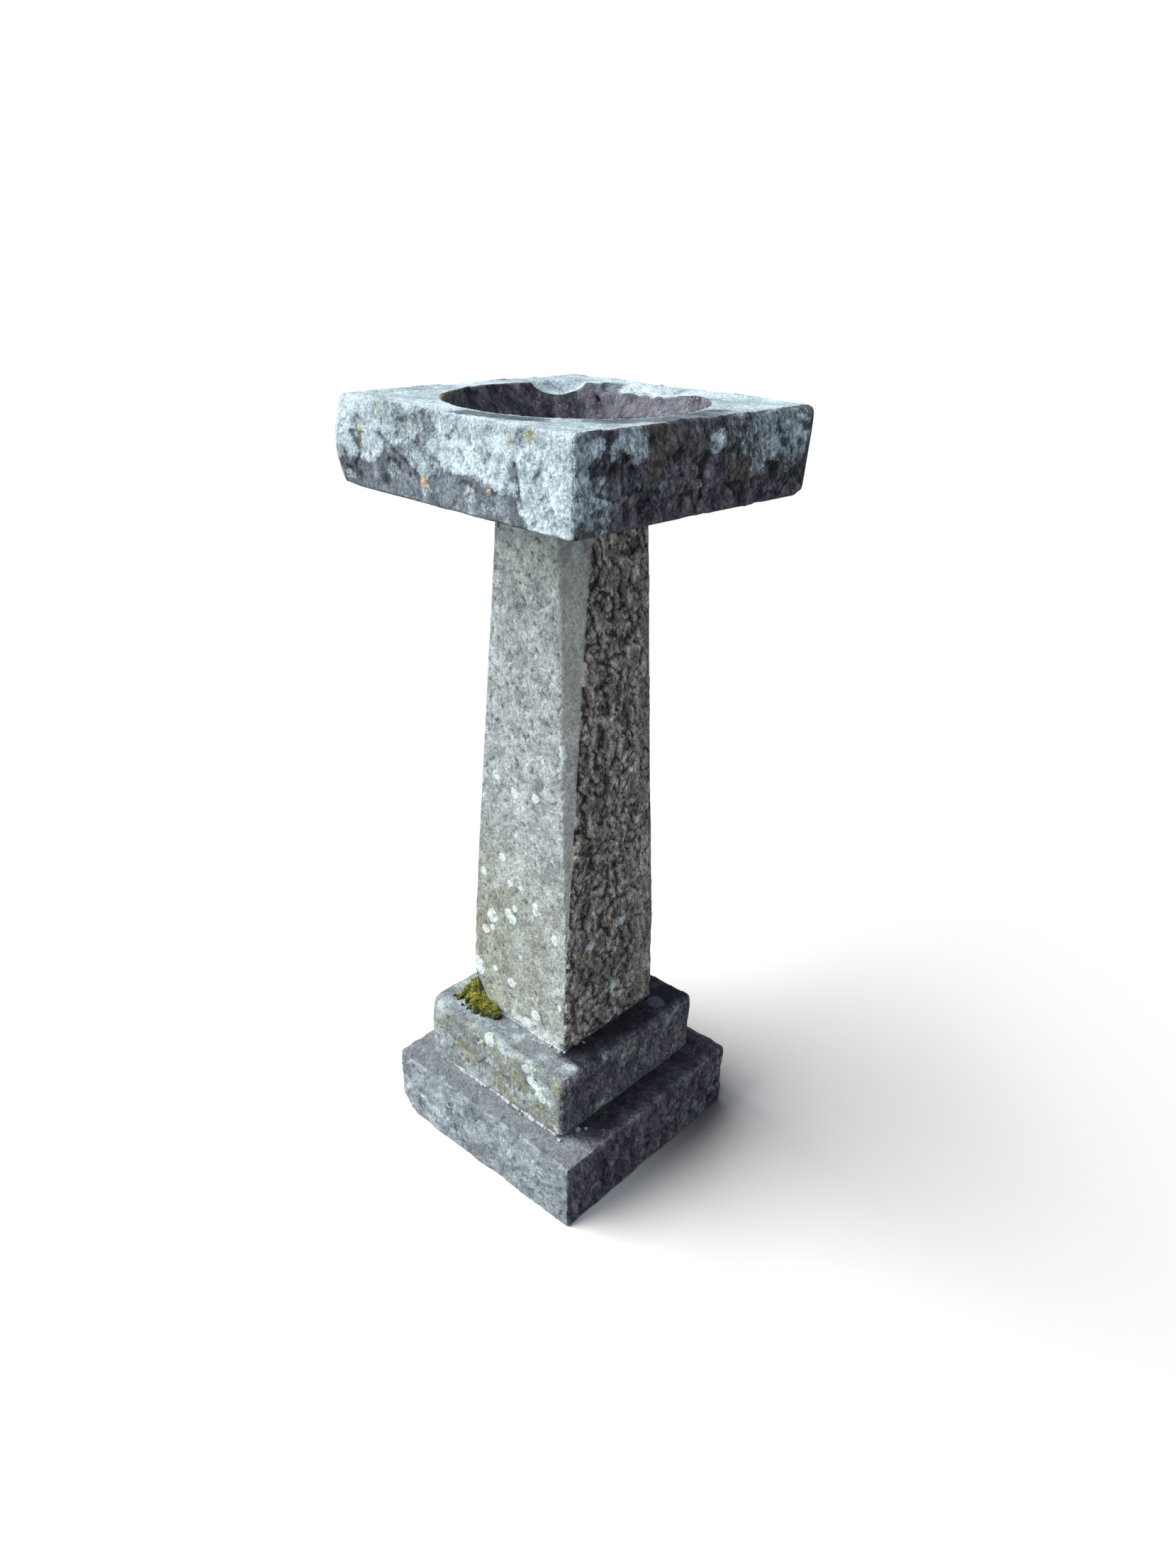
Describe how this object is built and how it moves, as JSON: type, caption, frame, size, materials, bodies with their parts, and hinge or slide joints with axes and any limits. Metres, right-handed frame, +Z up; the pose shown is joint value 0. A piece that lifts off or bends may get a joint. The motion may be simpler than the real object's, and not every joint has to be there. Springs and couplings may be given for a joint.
{
  "type": "baptismal font",
  "caption": "Weathered stone font: square basin with a round bowl on a tapered, chamfered shaft and stepped plinth, with a drain and a lift-out plug with a lifting ring.",
  "frame": {"origin": "on the ground under the middle of the basin, on the axis of the drain and the underside of the lower plinth", "axes": "+Z up; the stones' faces run along X and Y, each turned by up to 2.2 degrees; the moss grows at the -X -Y corner and the worn notch in the rim is towards -X +Y"},
  "size_m": [0.4206, 0.4206, 1.102],
  "materials": {
    "basin_stone": "matte",
    "shaft_stone": "matte",
    "plinth_stone": "matte",
    "lime_mortar": "matte",
    "dowel_iron": "matte",
    "waste_lead": "matte",
    "bronze": "satin",
    "moss": "matte"
  },
  "bodies": {
    "font": {"lower_plinth": "plinth_stone", "plinth_mortar_bed": "lime_mortar", "plinth_dowel_a": "dowel_iron", "plinth_dowel_b": "dowel_iron", "upper_plinth": "plinth_stone", "shaft_mortar_bed": "lime_mortar", "shaft_dowel_a": "dowel_iron", "shaft_dowel_b": "dowel_iron", "shaft": "shaft_stone", "basin_mortar_bed": "lime_mortar", "basin_dowel_a": "dowel_iron", "basin_dowel_b": "dowel_iron", "basin": "basin_stone", "waste_pipe": "waste_lead", "waste_seat": "bronze", "moss_cushion": "moss"},
    "plug": {"plug": "bronze"},
    "ring": {"plug_ring": "bronze"}
  },
  "joints": [
    {"name": "plug_lift", "type": "slide", "parent": "font", "child": "plug", "axis": [0, 0, 1], "range_m": [0, 0.15]},
    {"name": "ring_swing", "type": "hinge", "parent": "plug", "child": "ring", "pos_m": [0, 0, 1.045], "axis": [0, 1, 0], "range_deg": [-208, 0]}
  ]
}
